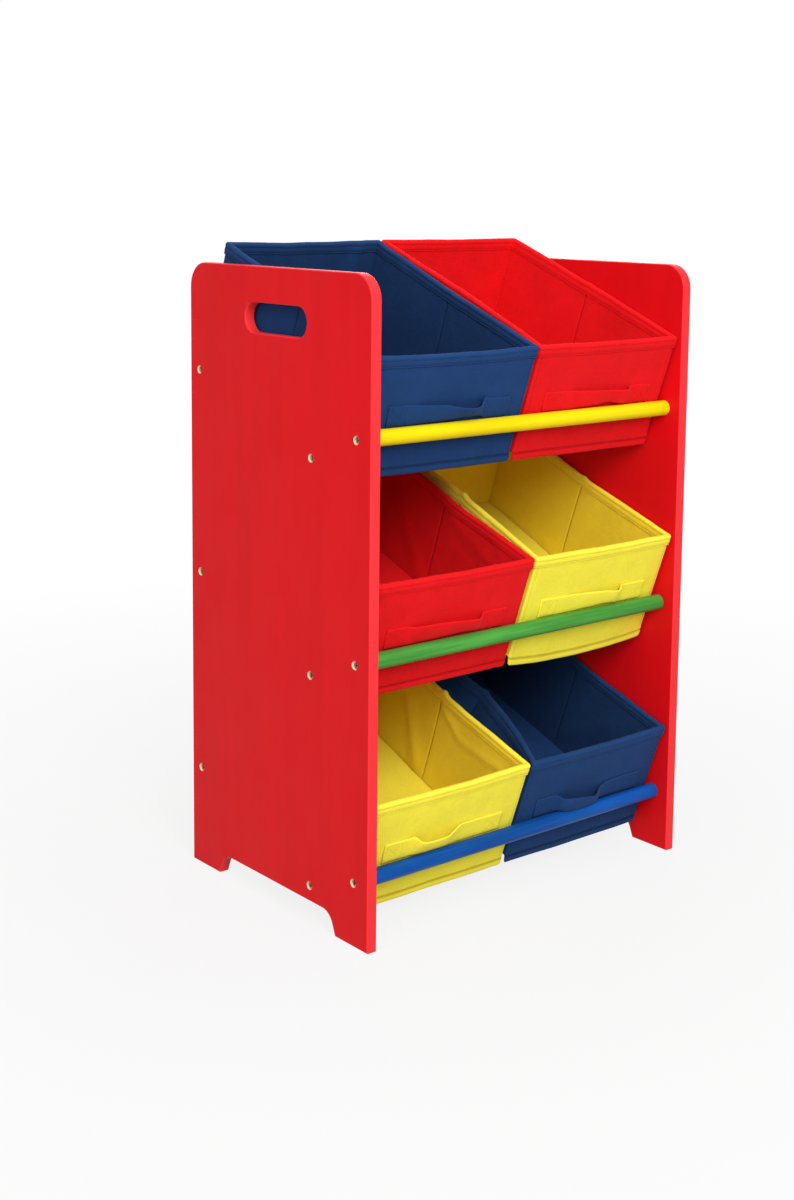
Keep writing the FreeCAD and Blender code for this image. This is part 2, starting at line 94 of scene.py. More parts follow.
# How each bin's cloth sits, in millimetres: the side walls' fold at the crease, the front wall's belly,
# the front hem's sag, the rim's dips, the kinks where a crease meets the rim, and the floor board's rise
# at its rear. The strap's loop is a row of places along it, each with how far its upper edge stands out,
# how far it sags there, how far its lower edge stands out and how far that is lifted off the rail.
Sit = namedtuple("Sit", "fold_left fold_right belly hem_sag rim_dip side_dip kink_left kink_right "
                        "board_rise seed loop")
SITS = {
    "top_left": Sit(2.5, 3.0, 1.2, 0.3, 1.4, 0.8, 0.5, 0.8, 0.0, 11, (
        (-52, 0, 0, 0, 0), (-30, 3, 0.5, 1, 0), (-12, 6, 0.3, 2, 0), (0, 9, 1.5, 3, 0.5),
        (12, 12, 2.8, 3.5, 2.0), (22, 12.5, 3.4, 4, 2.5), (31, 10.5, 2, 4, 2.5), (37, 5, -1.0, 3, 2),
        (42, 1.5, -2.5, 1, 1.5), (47, 0.3, -0.5, 0.3, 0), (52, 0, 0, 0, 0))),
    "top_right": Sit(2.0, 1.5, 0.8, 0.2, 0.5, -1.8, 0.5, 0.5, 0.0, 12, (
        (-52, 0, 0, 0, 0), (-25, 3, 0.2, 1, 0), (0, 6, 0.3, 2.5, 1), (15, 7.5, 0.3, 3, 3),
        (27, 8.5, 0.5, 5, 1), (35, 8.5, 0.5, 6.5, 0), (41, 4, -0.5, 3, 0), (46, 0.5, 0, 0.5, 0),
        (52, 0, 0, 0, 0))),
    "middle_left": Sit(3.0, 3.5, 1.0, 0.4, 1.0, 0.6, 0.8, 1.2, 5.0, 13, (
        (-52, 0, 0.3, 0, 0), (-44, 2.5, 0.8, 0.5, 0), (-20, 5, 0, 1.5, 0), (0, 6.5, 0.3, 2.5, 0.5),
        (18, 8.5, 0.8, 3, 1.5), (32, 9.5, 1.0, 4, 1), (39, 6, 0.5, 3, 0), (45, 1, -0.6, 0.5, 0),
        (52, 0, 0, 0, 0))),
    "middle_right": Sit(13.0, 2.0, 1.4, 7.0, 0.6, 0.4, 2.2, 1.2, 13.0, 14, (
        (-52, 0, 0, 0, 0), (-25, 1.5, 0, 0.5, 0), (0, 4, 0, 1.5, 0), (15, 6, 0.3, 2.5, 1),
        (27, 8.5, 1.0, 4, 1), (33, 7, 0.5, 4, 0), (39, 1.5, -1, 1, 0), (45, 0.3, 0, 0, 0),
        (52, 0, 0, 0, 0))),
    "bottom_left": Sit(4.0, 3.5, 1.2, 0.5, 0.8, 0.8, 0.8, 3.0, 6.0, 15, (
        (-52, 0, -0.5, 0, 0), (-47, 0.8, -1.5, 0.3, 0), (-43, 3, -4.0, 1, 0), (-38, 8, -0.8, 3, 0),
        (-33, 9.5, 1.0, 3.5, 0), (-16, 10, 1.8, 4, 0), (-4, 9.5, 1.9, 4, 0), (4, 7, 1.0, 3.5, 0),
        (14, 3, -0.2, 2, 0), (22, 1, -1, 0.5, 0), (34, 0.3, 0, 0, 0), (52, 0, 0, 0, 0))),
    "bottom_right": Sit(54.0, 2.5, 1.0, 1.0, 1.0, 0.6, 2.0, 0.6, 0.0, 16, (
        (-52, 0, 0, 0, 0), (-48, 1, 0.5, 0.5, 0), (-44, 7.5, 1, 5, 0), (-36, 9.5, 1.5, 9, 0),
        (-20, 11, 3, 10, 0), (-6, 11.5, 5, 10, 0), (4, 9.5, 6.5, 9, 0), (11, 5, 5.5, 6, 0),
        (18, 1.5, 3.5, 2, 0), (28, 0.5, 1.2, 0.5, 0), (38, 0.2, 0.3, 0, 0), (52, 0, 0, 0, 0))),
}

# Soft wrinkles on the walls, in millimetres: the place and height where each starts and ends, how far it
# stands in and how wide it is. A place is measured back from the front on a side wall, and from the
# middle on the rear wall.
WRINKLES = {
    ("top_left", "rear"): ((62, 24, 70, 106, 2.2, 9), (8, 60, -22, 108, 1.3, 11)),
    ("top_left", "right"): ((240, 30, 214, 104, 1.6, 8), (120, 24, 84, 66, 1.0, 7)),
    ("top_right", "left"): ((246, 26, 226, 106, 2.2, 7), (206, 40, 180, 100, 1.2, 9)),
    ("top_right", "right"): ((216, 16, 160, 84, 1.2, 8),),
    ("top_right", "rear"): ((-66, 24, -72, 104, 1.8, 8),),
    ("middle_left", "right"): ((146, 14, 206, 78, 1.4, 8), (124, 100, 60, 84, 1.0, 7)),
    ("middle_right", "left"): ((206, 96, 120, 66, 1.8, 9), (112, 100, 60, 88, 1.2, 6)),
    ("middle_right", "right"): ((120, 20, 60, 62, 1.0, 8),),
    ("bottom_left", "right"): ((130, 102, 98, 82, 1.9, 3.8), (98, 82, 34, 88, 1.3, 3.8),
                               (150, 18, 196, 96, 2.4, 9)),
    ("bottom_left", "rear"): ((52, 26, 66, 104, 2.4, 10),),
    ("bottom_right", "left"): ((176, 100, 110, 78, 1.6, 8),),
    ("bottom_right", "right"): ((128, 24, 70, 74, 1.0, 8),),
}

# The cloth's mesh: how closely its points stand, its corners, its rows at the seams, crease, foot and rim,
# and the rings in its flat parts, as shares of the way out from the middle
CLOTH_SPACING = 4.0 * MM
BOARD_SPACING = 5.0 * MM
CORNER_RADIUS = 3.0 * MM
SHARP_RADIUS = 0.3 * MM
CORNER_STEPS = 5
END_STATIONS = (3.9 * MM, 4.6 * MM, 5.4 * MM, 6.4 * MM)
CREASE_STATIONS = (0.6 * MM, 1.2 * MM, 2.0 * MM, 3.4 * MM)
FOOT_STATIONS = (1.2 * MM, 2.6 * MM, 4.4 * MM)
RIM_ROUNDING = 0.4 * MM
RIM_DROP = 0.3 * MM
FLOOR_CORNER = 1.3 * MM
BOARD_GAP = 1.0 * MM
HAIR = 0.2 * MM
BASE_RINGS = (0.3, 0.6, 0.85, 0.97)
FLOOR_RINGS = (0.85, 0.6, 0.3)
BOARD_UNDER_RINGS = (0.25, 0.6, 0.9)
BOARD_TOP_RINGS = (0.96, 0.88, 0.7, 0.5, 0.25)
BOARD_EDGE_SHARE = 0.45
WELD_DISTANCE = 0.01 * MM
MOST_CUTS = 8

# The seams, and the crease in each side wall, each with how deep it is, how far it reaches and how dark its
# painted shade is; from its first foot height to its second a crease grows to its full depth
SEAM_EDGES = (3.9 * MM, 6.1 * MM)
SEAM_RECESS = 0.50 * MM
SEAM_DARKNESS = 0.35
CREASE_DEPTH = 1.1 * MM
CREASE_REACH = 1.0 * MM
CREASE_FOOT = (6 * MM, 16 * MM)
CREASE_MARK_REACH = 0.8 * MM
CREASE_MARK_FOOT = (4 * MM, 10 * MM)
CORNER_SEAM = 4.8 * MM
CORNER_SEAM_DEPTH = 0.55 * MM
CORNER_SEAM_REACH = 0.7 * MM
BASE_SEAM_HEIGHTS = (2.5 * MM, 5.0 * MM)
BASE_SEAM_DEPTH = 0.30 * MM
STITCH_PITCH = 3.6 * MM
STITCH_LENGTH = 2.7 * MM
STITCH_RADIUS = 0.32 * MM
STITCH_SINK = 0.50 * MM
STITCH_SIDES = 6
STITCH_BEND = 0.9
STITCH_SECTION = [(-1.0, 0.25), (-0.8, 0.8), (0.0, 1.0), (0.8, 0.8), (1.0, 0.25)]

# How the cloth moves: each ripple's height with its shortest and longest waves, how far the rims rise,
# the share of the length where that rise starts, how near the front rail a wall stays flat, and what each
# kind of ripple adds to a bin's seed
WALL_RIPPLE = 0.50 * MM
SIDE_WAVES = (60 * MM, 160 * MM)
END_WAVES = (45 * MM, 120 * MM)
RIM_RIPPLE = 0.25 * MM
RIM_WAVES = (50 * MM, 130 * MM)
PUCKER = 0.16 * MM
PUCKER_WAVES = (9 * MM, 22 * MM)
BOARD_RIPPLE = 0.35 * MM
BOARD_WAVES = (40 * MM, 140 * MM)
FRONT_RISE = 1.5 * MM
REAR_RISE = 9.0 * MM
RISE_START_SHARES = {"bottom": 0.47, "middle": 0.47, "top": 0.0}
KINK_REACH = 4.0 * MM
RAIL_CALM = (6 * MM, 20 * MM)
END_SEED, RIM_SEED, PUCKER_SEED, BOARD_SEED = 100, 200, 300, 400

# Where on a bin the moves act, as shares of its half width, its length or its height: a move is nothing
# at the first share and whole at the second
SIDE_SHARES = (0.80, 0.93)
FRONT_SHARES = (0.05, 0.02)
REAR_SHARES = (0.95, 0.98)
CORNER_SHARES = (0.02, 0.10)
EDGE_SHARES = (0.02, 0.12)
LOW_SHARES = (0.0, 0.25)
BELLY_SHARES = (0.44, 0.85)
HEM_BACK_SHARES = (0.05, 0.0)
HEM_UP_SHARES = (0.17, 0.0)
BOARD_RISE_SHARES = (0.15, 1.1)
CREASE_ROUND_SHARE = 0.02
REAR_DIP_SHARE = 0.8
REAR_BELLY_SHARE = 0.6
HIGHEST_SHARE = 1.05

# The powers that shape the moves: a fold along the wall and up it, a move of the rim, and the hem's sag
FOLD_ALONG_POWER = 0.9
FOLD_UP_POWER = 1.15
RIM_POWER = 7
HEM_POWER = 0.8

# The fold tape's section outside and over the rim: inset from the cover's face, and height from its top
BINDING_SECTION = [
    (0.10, -11.15), (-0.35, -11.30), (-0.75, -11.00), (-0.88, -10.40), (-0.62, -9.95), (-0.48, -9.60),
    (-0.62, -9.25), (-0.92, -8.50), (-1.00, -7.00), (-0.92, -5.40), (-0.62, -4.40), (-0.58, -4.05),
    (-0.78, -3.60), (-1.02, -2.80), (-1.02, -1.90), (-0.75, -0.95), (-0.15, -0.20), (0.80, 0.35),
]
STITCH_LINE = -9.60 * MM
TAPE_INSET = 0.15 * MM
TAPE_CROWN = 0.6 * MM
# How far the painted shade along the tape's seam reaches and how dark it is
TAPE_SEAM_REACH = 0.3 * MM
TAPE_SEAM_DARKNESS = 0.8

# The foot of the cover from the base outwards, as pairs of inset and height: where the hem hangs, with
# its seam at the level of the base, and where the wall turns straight under the base
HEM_SECTION = [
    (2.3, 0.0), (2.1, -0.9), (2.0, -3.2), (2.05, -6.0), (1.9, -8.0), (1.3, -8.85), (0.5, -8.9),
    (-0.05, -8.2), (-0.25, -6.6), (-0.30, -4.8), (-0.20, -3.0), (0.15, -1.5), (0.95, -0.6), (0.95, 0.1),
    (0.20, 0.9), (0.0, 1.9),
]
TURNED_SECTION = [(3.4 - 0.3 * step, 0.0) for step in range(8)] + [
    (1.0, 0.04), (0.75, 0.12), (0.5, 0.28), (0.3, 0.5), (0.16, 0.78), (0.06, 1.05), (0.0, 1.4), (0.0, 1.9),
]
# How dark the painted shade is along the hem's seam, for each row of the hem's section
HEM_SEAM_SHADE = (0, 0, 0, 0, 0, 0, 0, 0, 0, 0, 0.1, 0.9, 0.9, 0.1, 0, 0)
HEM_SEAM = (0.75 * MM, -0.25 * MM)
HEM_CORNER = 4.5 * MM
HEM_TURN = 1.0 * MM
SECTION_DROP = 9.0 * MM
FOOT_TOP = HEM_SECTION[-1][1] * MM


def smooth(value, low=0.0, high=1.0):
    """Goes smoothly from 0 at low to 1 at high, which may be the smaller of the two."""
    share = np.clip((value - low) / (high - low), 0.0, 1.0)
    return share * share * (3 - 2 * share)


def bell(offset, reach):
    """1 at no offset, falling smoothly to about a third at the reach."""
    return np.exp(-(offset / reach) ** 2)


def ripple(first, second, seed, shortest, longest):
    """A smooth random field over two coordinates, about -1 to 1, from crossing waves."""
    draw = np.random.default_rng(seed)
    count = 14
    total = np.zeros(np.broadcast(first, second).shape)
    for _ in range(count):
        length = math.exp(draw.uniform(math.log(shortest), math.log(longest)))
        turn, phase = draw.uniform(0, 2 * math.pi, 2)
        along = first * math.cos(turn) + second * math.sin(turn)
        total = total + np.sin(2 * math.pi * along / length + phase)
    return total / math.sqrt(count)


def wrinkles(name, wall, place, height):
    """How far one wall's wrinkles stand in at a place and a height on it."""
    total = np.zeros(np.broadcast(place, height).shape)
    for line in WRINKLES.get((name, wall), ()):
        place_0, height_0, place_1, height_1, depth, width = (value * MM for value in line)
        run, climb = place_1 - place_0, height_1 - height_0
        share = ((place - place_0) * run + (height - height_0) * climb) / (run ** 2 + climb ** 2)
        share = np.clip(share, 0, 1)
        off = np.hypot(place - place_0 - share * run, height - height_0 - share * climb)
        total = np.maximum(total, depth * bell(off, width))
    return total


# Meshes

def place_in_scene(name, data):
    """An object for data of any kind, linked to the scene."""
    item = bpy.data.objects.new(name, data)
    bpy.context.scene.collection.objects.link(item)
    return item


def add_piece(name, mesh, body, place=Matrix()):
    """An object for a mesh that rides on a body."""
    piece = place_in_scene(name, mesh)
    piece.matrix_world = place
    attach(piece, body)
    return piece


def remade(node, name, body, slot, *materials):
    """A piece with a copy of a CAD node's mesh, which stands in for the node."""
    mesh = frame["nodes"][node].data.copy()
    mesh.name = name
    mesh.materials.clear()
    for material in materials:
        mesh.materials.append(material)
    piece = add_piece(name, mesh, body)
    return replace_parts(piece, node)


def subdivide(mesh, longest):
    """Cuts a mesh's long edges until none is longer than a given length."""
    work = bmesh.new()
    work.from_mesh(mesh)
    bmesh.ops.remove_doubles(work, verts=work.verts, dist=WELD_DISTANCE)
    for _ in range(MOST_CUTS):
        long_edges = [edge for edge in work.edges if edge.calc_length() > longest]
        if not long_edges:
            break
        bmesh.ops.subdivide_edges(work, edges=long_edges, cuts=1, use_grid_fill=True)
        bmesh.ops.triangulate(work, faces=[face for face in work.faces if len(face.verts) > 4])
    work.to_mesh(mesh)
    work.free()


def grid_faces(rows, columns, closed_rows=False):
    """Quads between rows of points whose columns go round in a ring."""
    faces = []
    for row in range(rows if closed_rows else rows - 1):
        low, high = row * columns, (row + 1) % rows * columns
        for column in range(columns):
            after = (column + 1) % columns
            faces.append((low + column, low + after, high + after, high + column))
    return faces


def closed_skin(rings):
    """Points and faces of a skin over rings, closed at both ends by a fan to the end ring's middle."""
    columns = len(rings[0])
    hub = len(rings) * columns
    faces = grid_faces(len(rings), columns)
    for column in range(columns):
        after = (column + 1) % columns
        faces.append((hub, after, column))
        faces.append((hub - columns + column, hub - columns + after, hub + 1))
    return np.concatenate([*rings, [rings[0].mean(0)], [rings[-1].mean(0)]]), faces


def tube_faces(rows, columns):
    """Quads along a tube with a flat face at either end."""
    start = (rows - 1) * columns
    ends = [tuple(reversed(range(columns))), tuple(range(start, start + columns))]
    return grid_faces(rows, columns) + ends


def level(ring, height):
    """A ring of points in the plane, all put at one height."""
    return np.column_stack([ring, np.full(len(ring), height)])


# The bins

def node_points(node):
    return np.array([vertex.co for vertex in frame["nodes"][node].data.vertices])


class Bin:
    """One bin's frame, read from its CAD cover and its joint, with the field that shapes its cloth."""

    def __init__(self, tier, side):
        self.name = f"{tier}_{side}"
        self.body = f"bin_{self.name}"
        self.colour = BIN_COLOURS[self.name]
        self.sit = SITS[self.name]
        self.rise_start = RISE_START_SHARES[tier]
        joint = next(entry for entry in frame["joints"] if entry["child"] == self.body)
        turn = Matrix.Rotation(math.atan2(-joint["axis"][1], joint["axis"][2]), 4, "X")
        levelled = node_points(f"bin_cover_{self.name}") @ np.array(turn)[:3, :3]
        low, high = levelled.min(0), levelled.max(0)
        middle = (low[0] + high[0]) / 2
        self.half = (high[0] - low[0]) / 2
        self.length = high[1] - low[1]
        at_sides = np.abs(levelled[:, 0] - middle) > self.half - HAIR
        base = levelled[at_sides, 2].min()
        self.height = high[2] - base
        self.hem_drop = base - low[2]
        self.place = turn @ Matrix.Translation((middle, low[1], base))
        self.board_low, self.board_high = self.local_box(f"base_board_{self.name}")
        self.wall = self.half + self.board_low[0] - BOARD_GAP
        self.floor = self.board_low[2]
        rail_low, rail_high = self.local_box(f"front_rail_{tier}")
        self.rail = (rail_low[1:] + rail_high[1:]) / 2
        self.rail_radius = (rail_high[1] - rail_low[1]) / 2

    def local_box(self, node):
        """The low and the high corner of a CAD node's box in the bin's own coordinates."""
        back = np.array(self.place.inverted())
        points = node_points(node) @ back[:3, :3].T + back[:3, 3]
        return points.min(0), points.max(0)

    def over_rail(self, b, margin):
        """The lowest that something may be at b, a margin clear of the front rail's upper half."""
        reach = self.rail_radius + margin
        return self.rail[1] + np.sqrt(np.clip(reach ** 2 - (b - self.rail[0]) ** 2, 0, None))

    def settle(self, points):
        """Moves points of the sewn tray to where the cloth sits: folds, bellies, sags and ripples."""
        sit = self.sit
        x, b, p = (points[..., axis].copy() for axis in range(3))
        across, along = x / self.half, b / self.length
        high = np.clip(p / self.height, 0, HIGHEST_SHARE)
        left, right = smooth(-across, *SIDE_SHARES), smooth(across, *SIDE_SHARES)
        front, rear = smooth(along, *FRONT_SHARES), smooth(along, *REAR_SHARES)
        off_floor = smooth(high, *LOW_SHARES)
        bow = np.clip(1 - across ** 2, 0, 1)
        rim = high ** RIM_POWER

        fold = np.clip(1 - np.hypot(2 * along - 1, CREASE_ROUND_SHARE), 0, 1) ** FOLD_ALONG_POWER
        fold *= high ** FOLD_UP_POWER
        lean = MM * fold * (sit.fold_left * left - sit.fold_right * right)
        sway = ripple(b, p, sit.seed, *SIDE_WAVES) * WALL_RIPPLE * off_floor * (left + right)
        sway += wrinkles(self.name, "left", b, p) * left - wrinkles(self.name, "right", b, p) * right
        move_x = lean + sway * smooth(along, *CORNER_SHARES) * smooth(1 - along, *CORNER_SHARES)

        dent = ripple(x, p, sit.seed + END_SEED, *END_WAVES) * WALL_RIPPLE
        free = smooth(np.abs(p - self.rail[1]), *RAIL_CALM) * smooth(1 - np.abs(across), *EDGE_SHARES)
        belly = MM * sit.belly * bow
        move_b = front * ((dent + WALL_RIPPLE) * free / 2 - belly * smooth(high, *BELLY_SHARES))
        move_b += rear * (dent * free * off_floor - belly * REAR_BELLY_SHARE * high)
        move_b -= rear * wrinkles(self.name, "rear", x, p)

        risen = np.clip((along - self.rise_start) / (1 - self.rise_start), 0, 1)
        move_p = high * (FRONT_RISE + (REAR_RISE - FRONT_RISE) * risen)
        hem = smooth(along, *HEM_BACK_SHARES) * smooth(high, *HEM_UP_SHARES)
        move_p -= MM * sit.hem_sag * hem * bow ** HEM_POWER
        move_p -= MM * sit.rim_dip * rim * bow * (front + REAR_DIP_SHARE * rear)
        move_p -= MM * sit.side_dip * rim * np.clip(fold, 0, 1) * (left + right)
        kink = sit.kink_left * left + sit.kink_right * right
        move_p += MM * kink * rim * bell(b - self.length / 2, KINK_REACH)
        move_p -= lean ** 2 / (2 * np.maximum(p, CORNER_RADIUS))
        move_p += ripple(x, b, sit.seed + RIM_SEED, *RIM_WAVES) * RIM_RIPPLE * rim
        return np.stack([x + move_x, b + move_b, p + move_p], axis=-1)

    def add_cloth(self, name, points, faces, material, slot, **marks):
        """A smooth piece of settled cloth; marks are values for its points that materials read."""
        name = f"{name}_{self.name}"
        mesh = bpy.data.meshes.new(name)
        mesh.from_pydata(self.settle(points).tolist(), [], faces)
        mesh.validate()
        mesh.polygons.foreach_set("use_smooth", [True] * len(mesh.polygons))
        mesh.update()
        for mark, values in marks.items():
            mesh.attributes.new(mark, "FLOAT", "POINT").data.foreach_set("value", np.ravel(values))
        mesh.materials.append(material)
        return add_piece(name, mesh, self.body, self.place)


def side_stations(half_length, creased):
    """Places along one straight side of a tray, closer at its seams and at its crease."""
    near_ends = [half_length - place for place in (CORNER_RADIUS, *END_STATIONS)]
    near_middle = list(CREASE_STATIONS) if creased else []
    inner = max(near_middle, default=0.0)
    steps = max(2, round((near_ends[-1] - inner) / CLOTH_SPACING))
    between = np.linspace(inner, near_ends[-1], steps + 1)[1:-1]
    positive = sorted({*near_middle, *between, *near_ends})
    return np.array([-place for place in reversed(positive)] + [0.0] + positive)


def wall_ring(tray, inset):
    """Points round a tray's wall at an inset from its outer face, with their outward directions.

    The second half of the ring is the first, turned about the tray's middle.
    """
    radius = max(CORNER_RADIUS - inset, SHARP_RADIUS)
    half = tray.half - inset
    middle, half_length = tray.length / 2, tray.length / 2 - inset
    front = side_stations(tray.half, False) * (half - radius) / (tray.half - CORNER_RADIUS)
    flank = side_stations(middle, True) * (half_length - radius) / (middle - CORNER_RADIUS)
    turns = np.linspace(0, math.pi / 2, CORNER_STEPS + 1)[1:-1]
    points, directions = [], []

    def straight(across, back, direction):
        places = np.stack(np.broadcast_arrays(across, back), axis=-1)
        points.extend(places)
        directions.extend([direction] * len(places))

    def corner(across, back, start):
        for turn in start + turns:
            direction = (math.cos(turn), math.sin(turn))
            points.append((across + radius * direction[0], back + radius * direction[1]))
            directions.append(direction)

    near, far = middle - half_length, middle + half_length
    straight(front, near, (0, -1))
    corner(half - radius, near + radius, -math.pi / 2)
    straight(half, middle + flank, (1, 0))
    corner(half - radius, far - radius, 0)
    points, directions = np.array(points), np.array(directions)
    return np.vstack([points, (0, tray.length) - points]), np.vstack([directions, -directions])


def drawn_in(tray, ring, shares):
    """Copies of a ring at its own height, drawn in towards the tray's middle."""
    middle = np.array([0.0, tray.length / 2, 0.0])
    return [middle * (1 - share) + ring * [share, share, 1] for share in shares]


def seams_near(tray, ring):
    """For points round a wall: which are on a side, and their distances from corner, crease and seam."""
    from_side = tray.half - np.abs(ring[:, 0])
    from_end = np.minimum(ring[:, 1], tray.length - ring[:, 1])
    on_flank = from_side < from_end
    from_corner = np.where(on_flank, from_end, from_side)
    return on_flank, from_corner, ring[:, 1] - tray.length / 2, from_corner - CORNER_SEAM


def seam_relief(tray, ring, height, facing):
    """How far a wall's cloth dips between its boards: at the corners, the crease and the base."""
    on_flank, from_corner, from_crease, from_seam = seams_near(tray, ring)
    dip = SEAM_RECESS * (1 - smooth(from_corner, *SEAM_EDGES))
    crease = bell(from_crease, CREASE_REACH) * on_flank * smooth(height, *CREASE_FOOT)
    dip = np.maximum(dip, CREASE_DEPTH * crease)
    if facing > 0:
        seam = bell(from_seam, CORNER_SEAM_REACH) * ~on_flank
        dip = np.maximum(dip, CORNER_SEAM_DEPTH * seam)
        dip = np.maximum(dip, BASE_SEAM_DEPTH * (1 - smooth(height, *BASE_SEAM_HEIGHTS)))
    return dip


def shade_along_seams(tray, ring, height):
    """How much painted shade darkens the cloth along its lines: 1 in the creases, less in the outside seams.
    """
    on_flank, _, from_crease, from_seam = seams_near(tray, ring)
    crease = bell(from_crease, CREASE_MARK_REACH) * on_flank * smooth(height, *CREASE_MARK_FOOT)
    return crease + SEAM_DARKNESS * bell(from_seam, CORNER_SEAM_REACH) * ~on_flank


def wall_heights(low, high):
    """Heights of a wall's rows above its foot."""
    rows = [low + height for height in FOOT_STATIONS]
    steps = round((high - rows[-1]) / CLOTH_SPACING)
    return rows + list(np.linspace(rows[-1], high, steps + 1)[1:])


def hem_rows(tray):
    """The foot of the cover: a hem that hangs at the front and the rear, a plain turn at the sides."""
    ring, directions = wall_ring(tray, 0.0)
    from_end = tray.half - HAIR - np.abs(ring[:, 0])
    share = smooth(from_end, -HAIR, HEM_TURN - HAIR)
    rounded = np.sqrt(1 - (1 - np.clip(from_end / HEM_CORNER, 0, 1)) ** 2)
    drop = (tray.hem_drop - (1 - rounded) * HEM_CORNER) / SECTION_DROP
    rows = []
    for hung, turned in zip(HEM_SECTION, TURNED_SECTION):
        hung_height = hung[1] * (drop if hung[1] < 0 else 1)
        inset = (hung[0] * share + turned[0] * (1 - share)) * MM
        height = (hung_height * share + turned[1] * (1 - share)) * MM
        rows.append(np.column_stack([ring - directions * inset[:, None], height]))
    return rows


def make_cover(tray, material):
    """The double-walled cloth tray: hem, outside, rim, inside and floor in one closed skin."""
    rows = hem_rows(tray)
    inner = [0.0] * len(rows)
    pressed = [np.full(len(rows[0]), share) for share in HEM_SEAM_SHADE]

    def add_row(inset, height, facing, dips=True):
        ring, directions = wall_ring(tray, inset)
        dip = seam_relief(tray, ring, height, facing) * dips
        rows.append(level(ring - directions * (dip[:, None] * facing), height))
        inner.append(float(facing < 0))
        pressed.append(shade_along_seams(tray, ring, height) * dips)

    for height in wall_heights(FOOT_TOP, tray.height - RIM_DROP):
        add_row(0.0, height, 1)
    add_row(RIM_ROUNDING, tray.height, 1, dips=False)
    add_row(tray.wall - RIM_ROUNDING, tray.height, 1, dips=False)
    for height in reversed(wall_heights(tray.floor + FLOOR_CORNER, tray.height - RIM_DROP)):
        add_row(tray.wall, height, -1)
    for turn in np.linspace(0, math.pi / 2, 3):
        add_row(tray.wall + FLOOR_CORNER * (1 - math.cos(turn)),
                tray.floor + FLOOR_CORNER * (1 - math.sin(turn)), -1, dips=False)
    columns = len(rows[0])
    base, floor = drawn_in(tray, rows[0], BASE_RINGS), drawn_in(tray, rows[-1], FLOOR_RINGS)
    points, faces = closed_skin(base + rows + floor)
    inner = [0.0] * len(base) + inner + [1.0] * len(floor)
    inner = np.append(np.repeat(inner, columns), [0.0, 1.0])
    nothing = np.zeros(columns)
    pressed = [nothing] * len(base) + pressed + [nothing] * len(floor) + [[0.0, 0.0]]
    cover = tray.add_cloth("sewn_cover", points, faces, material, "fabric",
                           inside=inner, pressed=np.concatenate(pressed))
    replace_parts(cover, f"bin_cover_{tray.name}")


def make_binding(tray, material):
    """The tape folded over the rim: a rolled edge, a puckered seam and skirts on both faces."""
    wall = tray.wall
    outside = [(inset * MM, tray.height + up * MM) for inset, up in BINDING_SECTION]
    inside = [(wall - inset, height) for inset, height in reversed(outside)]
    bottom, top = outside[0][1], tray.height - TAPE_INSET
    hidden = [(wall - TAPE_INSET, bottom), (wall - TAPE_INSET, top), (TAPE_INSET, top), (TAPE_INSET, bottom)]
    rows, inner, pressed = [], [], []
    for inset, height in outside + [(wall / 2, tray.height + TAPE_CROWN)] + inside + hidden:
        ring, directions = wall_ring(tray, inset)
        pucker = ripple(ring[:, 0], ring[:, 1], tray.sit.seed + PUCKER_SEED, *PUCKER_WAVES) * PUCKER
        if (inset, height) not in hidden:
            ring = ring + directions * pucker[:, None]
        rows.append(level(ring, height))
        inner.append(np.full(len(ring), float(inset > wall + HAIR)))
        seam = TAPE_SEAM_DARKNESS * bell(height - tray.height - STITCH_LINE, TAPE_SEAM_REACH)
        pressed.append(np.full(len(ring), seam))
    faces = grid_faces(len(rows), len(rows[0]), closed_rows=True)
    binding = tray.add_cloth("sewn_binding", np.concatenate(rows), faces, material, "binding",
                             inside=inner, pressed=pressed)
    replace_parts(binding, f"rim_binding_{tray.name}")


def make_base_board(tray, material):
    """The loose cloth-covered board on the bin's floor, with soft edges and a slight crown."""
    low, high = tray.board_low, tray.board_high
    edge = (high[2] - low[2]) * BOARD_EDGE_SHARE
    turns = np.linspace(0, math.pi / 2, 4)
    profile = [(edge * (1 - math.sin(turn)), low[2] + edge * (1 - math.cos(turn))) for turn in turns]
    profile += [(edge * (1 - math.cos(turn)), high[2] - edge * (1 - math.sin(turn))) for turn in turns]
    rows = [level(wall_ring(tray, tray.half + low[0] + inset)[0], height) for inset, height in profile]
    under, top = drawn_in(tray, rows[0], BOARD_UNDER_RINGS), drawn_in(tray, rows[-1], BOARD_TOP_RINGS)
    points, faces = closed_skin(under + rows + top)
    wave = ripple(points[:, 0], points[:, 1], tray.sit.seed + BOARD_SEED, *BOARD_WAVES) * BOARD_RIPPLE
    points[:, 2] += np.where(points[:, 2] > (low[2] + high[2]) / 2, wave, 0)
    points[:, 2] += MM * tray.sit.board_rise * smooth(points[:, 1] / tray.length, *BOARD_RISE_SHARES)
    board = tray.add_cloth("covered_board", points, faces, material, "fabric")
    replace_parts(board, f"base_board_{tray.name}")


def make_stiffeners(tray, material):
    """The cardboard inside the walls, bent with the cloth round it."""
    for label in ("end_boards", "side_boards"):
        node = f"{label}_{tray.name}"
        piece = remade(node, f"bent_{node}", tray.body, "cardboard", material)
        piece.matrix_world = tray.place
        mesh = piece.data
        mesh.transform(tray.place.inverted())
        subdivide(mesh, BOARD_SPACING)
        points = np.array([vertex.co for vertex in mesh.vertices])
        mesh.vertices.foreach_set("co", tray.settle(points).astype(np.float32).ravel())
        mesh.update()


# Straps and stitches

